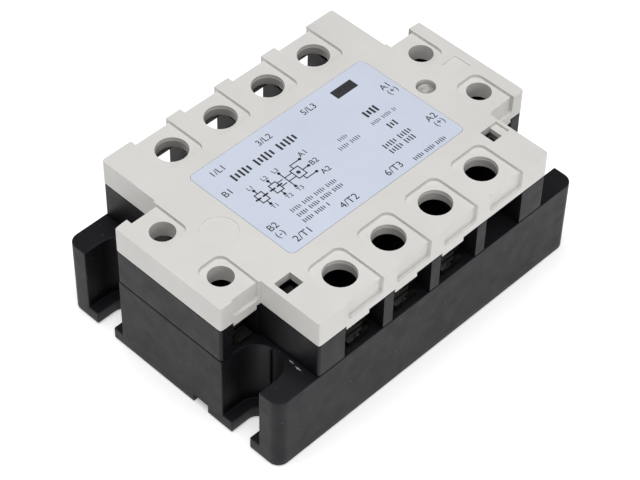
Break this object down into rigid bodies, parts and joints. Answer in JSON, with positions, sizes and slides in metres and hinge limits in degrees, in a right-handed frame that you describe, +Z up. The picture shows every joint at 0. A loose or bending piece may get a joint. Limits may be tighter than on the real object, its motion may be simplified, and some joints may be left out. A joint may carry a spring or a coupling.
{
  "type": "solid state relay",
  "caption": "Panel-mount solid state relay: plus-shaped module with screw terminals along both sides, control terminals at the ends and open slotted feet.",
  "frame": {"origin": "centre of the underside, in the plane of the heat sink", "axes": "+X along the module from the B terminals to the A terminals, +Y from the load side to the line side, +Z up from the heat sink"},
  "size_m": [0.103, 0.0724, 0.0412],
  "materials": {
    "black_plastic": "fine moulded texture",
    "grey_plastic": "satin",
    "label_film": "satin printed film",
    "plate": "satin",
    "zinc_steel": "zinc plated",
    "plated_brass": "nickel plated",
    "ceramic": "matt white",
    "silicon": "polished",
    "potting": "soft resin",
    "board": "satin laminate",
    "chip": "moulded",
    "film_case": "gloss",
    "can": "sleeved",
    "lamp": "tinted resin",
    "lens": "clear"
  },
  "bodies": {
    "module": {"base_housing": "black_plastic", "base_plate": "plate", "control_board": "board", "control_terminal_a1": "plated_brass", "control_terminal_a2": "plated_brass", "control_terminal_b1": "plated_brass", "control_terminal_b2": "plated_brass", "line_terminal_1": "plated_brass", "line_terminal_2": "plated_brass", "line_terminal_3": "plated_brass", "load_terminal_1": "plated_brass", "load_terminal_2": "plated_brass", "load_terminal_3": "plated_brass", "logic_chip": "chip", "potting": "potting", "rating_label": "label_film", "snubber_capacitor": "film_case", "status_lamp": "lamp", "status_lens": "lens", "substrate_1": "ceramic", "substrate_2": "ceramic", "substrate_3": "ceramic", "supply_capacitor": "can", "terminal_housing": "black_plastic", "thyristor_1a": "silicon", "thyristor_1b": "silicon", "thyristor_2a": "silicon", "thyristor_2b": "silicon", "thyristor_3a": "silicon", "thyristor_3b": "silicon", "top_cover": "grey_plastic", "trigger_coupler_1": "chip", "trigger_coupler_2": "chip", "trigger_coupler_3": "chip"},
    "line_clamp_1": {"line_clamp_1": "zinc_steel"},
    "line_screw_1": {"line_screw_1": "zinc_steel"},
    "line_clamp_2": {"line_clamp_2": "zinc_steel"},
    "line_screw_2": {"line_screw_2": "zinc_steel"},
    "line_clamp_3": {"line_clamp_3": "zinc_steel"},
    "line_screw_3": {"line_screw_3": "zinc_steel"},
    "load_clamp_1": {"load_clamp_1": "zinc_steel"},
    "load_screw_1": {"load_screw_1": "zinc_steel"},
    "load_clamp_2": {"load_clamp_2": "zinc_steel"},
    "load_screw_2": {"load_screw_2": "zinc_steel"},
    "load_clamp_3": {"load_clamp_3": "zinc_steel"},
    "load_screw_3": {"load_screw_3": "zinc_steel"},
    "control_clamp_a1": {"control_clamp_a1": "zinc_steel"},
    "control_screw_a1": {"control_screw_a1": "zinc_steel"},
    "control_clamp_a2": {"control_clamp_a2": "zinc_steel"},
    "control_screw_a2": {"control_screw_a2": "zinc_steel"},
    "control_clamp_b1": {"control_clamp_b1": "zinc_steel"},
    "control_screw_b1": {"control_screw_b1": "zinc_steel"},
    "control_clamp_b2": {"control_clamp_b2": "zinc_steel"},
    "control_screw_b2": {"control_screw_b2": "zinc_steel"}
  },
  "joints": [
    {"name": "line_1_lift", "type": "slide", "parent": "module", "child": "line_clamp_1", "axis": [0, 0, 1], "range_m": [0, 0.0032]},
    {"name": "line_1_turn", "type": "hinge", "parent": "line_clamp_1", "child": "line_screw_1", "pos_m": [-0.024, 0.028, 0.0262], "axis": [0, 0, 1], "range_deg": [0, 1440]},
    {"name": "line_2_lift", "type": "slide", "parent": "module", "child": "line_clamp_2", "axis": [0, 0, 1], "range_m": [0, 0.0032]},
    {"name": "line_2_turn", "type": "hinge", "parent": "line_clamp_2", "child": "line_screw_2", "pos_m": [-0.008, 0.028, 0.0262], "axis": [0, 0, 1], "range_deg": [0, 1440]},
    {"name": "line_3_lift", "type": "slide", "parent": "module", "child": "line_clamp_3", "axis": [0, 0, 1], "range_m": [0, 0.0032]},
    {"name": "line_3_turn", "type": "hinge", "parent": "line_clamp_3", "child": "line_screw_3", "pos_m": [0.008, 0.028, 0.0262], "axis": [0, 0, 1], "range_deg": [0, 1440]},
    {"name": "load_1_lift", "type": "slide", "parent": "module", "child": "load_clamp_1", "axis": [0, 0, 1], "range_m": [0, 0.0032]},
    {"name": "load_1_turn", "type": "hinge", "parent": "load_clamp_1", "child": "load_screw_1", "pos_m": [-0.024, -0.028, 0.0262], "axis": [0, 0, 1], "range_deg": [0, 1440]},
    {"name": "load_2_lift", "type": "slide", "parent": "module", "child": "load_clamp_2", "axis": [0, 0, 1], "range_m": [0, 0.0032]},
    {"name": "load_2_turn", "type": "hinge", "parent": "load_clamp_2", "child": "load_screw_2", "pos_m": [-0.008, -0.028, 0.0262], "axis": [0, 0, 1], "range_deg": [0, 1440]},
    {"name": "load_3_lift", "type": "slide", "parent": "module", "child": "load_clamp_3", "axis": [0, 0, 1], "range_m": [0, 0.0032]},
    {"name": "load_3_turn", "type": "hinge", "parent": "load_clamp_3", "child": "load_screw_3", "pos_m": [0.008, -0.028, 0.0262], "axis": [0, 0, 1], "range_deg": [0, 1440]},
    {"name": "control_a1_lift", "type": "slide", "parent": "module", "child": "control_clamp_a1", "axis": [0, 0, 1], "range_m": [0, 0.002]},
    {"name": "control_a1_turn", "type": "hinge", "parent": "control_clamp_a1", "child": "control_screw_a1", "pos_m": [0.0438, 0.0097, 0.0255], "axis": [0, 0, 1], "range_deg": [0, 1440]},
    {"name": "control_a2_lift", "type": "slide", "parent": "module", "child": "control_clamp_a2", "axis": [0, 0, 1], "range_m": [0, 0.002]},
    {"name": "control_a2_turn", "type": "hinge", "parent": "control_clamp_a2", "child": "control_screw_a2", "pos_m": [0.0438, -0.0097, 0.0255], "axis": [0, 0, 1], "range_deg": [0, 1440]},
    {"name": "control_b1_lift", "type": "slide", "parent": "module", "child": "control_clamp_b1", "axis": [0, 0, 1], "range_m": [0, 0.002]},
    {"name": "control_b1_turn", "type": "hinge", "parent": "control_clamp_b1", "child": "control_screw_b1", "pos_m": [-0.0438, 0.0097, 0.0255], "axis": [0, 0, 1], "range_deg": [0, 1440]},
    {"name": "control_b2_lift", "type": "slide", "parent": "module", "child": "control_clamp_b2", "axis": [0, 0, 1], "range_m": [0, 0.002]},
    {"name": "control_b2_turn", "type": "hinge", "parent": "control_clamp_b2", "child": "control_screw_b2", "pos_m": [-0.0438, -0.0097, 0.0255], "axis": [0, 0, 1], "range_deg": [0, 1440]}
  ],
  "couplings": [
    {"joint": "line_1_turn", "follows": "line_1_lift", "rad_per_m": 7853.9},
    {"joint": "line_2_turn", "follows": "line_2_lift", "rad_per_m": 7853.9},
    {"joint": "line_3_turn", "follows": "line_3_lift", "rad_per_m": 7853.9},
    {"joint": "load_1_turn", "follows": "load_1_lift", "rad_per_m": 7853.9},
    {"joint": "load_2_turn", "follows": "load_2_lift", "rad_per_m": 7853.9},
    {"joint": "load_3_turn", "follows": "load_3_lift", "rad_per_m": 7853.9},
    {"joint": "control_a1_turn", "follows": "control_a1_lift", "rad_per_m": 12566},
    {"joint": "control_a2_turn", "follows": "control_a2_lift", "rad_per_m": 12566},
    {"joint": "control_b1_turn", "follows": "control_b1_lift", "rad_per_m": 12566},
    {"joint": "control_b2_turn", "follows": "control_b2_lift", "rad_per_m": 12566}
  ]
}
